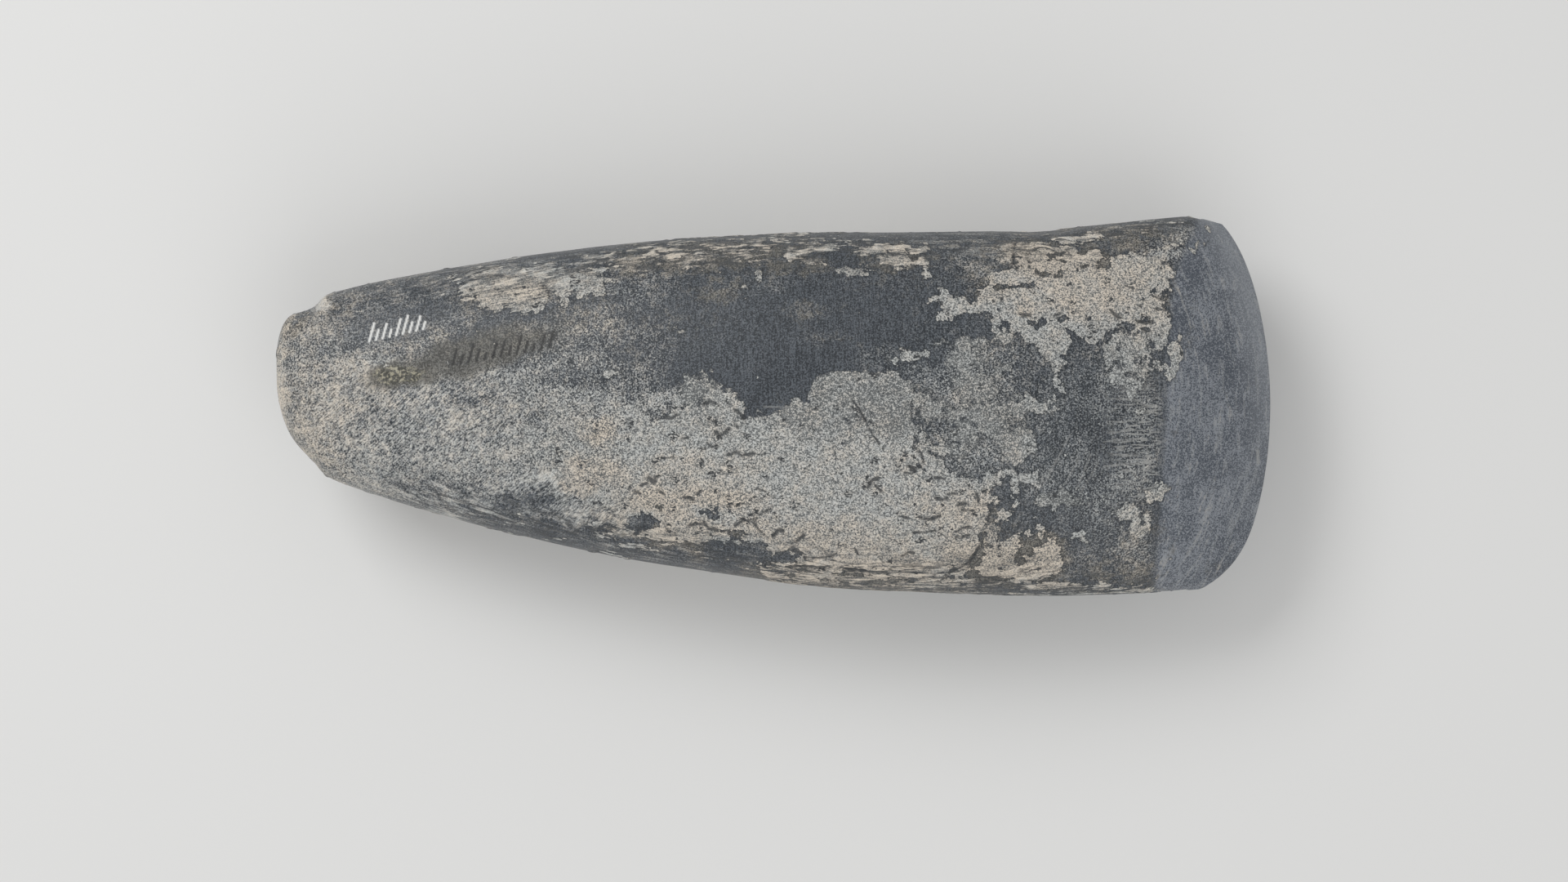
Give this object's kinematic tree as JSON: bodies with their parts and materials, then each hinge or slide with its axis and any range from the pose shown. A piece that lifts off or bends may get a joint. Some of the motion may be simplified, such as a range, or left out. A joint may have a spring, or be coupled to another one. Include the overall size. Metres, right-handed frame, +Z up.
{
  "type": "polished stone axe head",
  "caption": "Ground and polished stone axe head, tapering to a narrow blunt butt, with a wide bowed cutting edge between two ground facets, worn patches and small old chips.",
  "frame": {"origin": "middle of the axe head's box, on the surface that it lies on", "axes": "+X from the butt to the cutting edge, +Y across the axe towards the side with the waist, +Z up through the broad faces"},
  "size_m": [0.1702, 0.0652, 0.0385],
  "materials": {
    "stone": "dark grey-green polished stone with a faint sheen, and a matt pale grey weathered crust over about half of it"
  },
  "bodies": {
    "root": {"axe_head": "stone"}
  },
  "joints": []
}
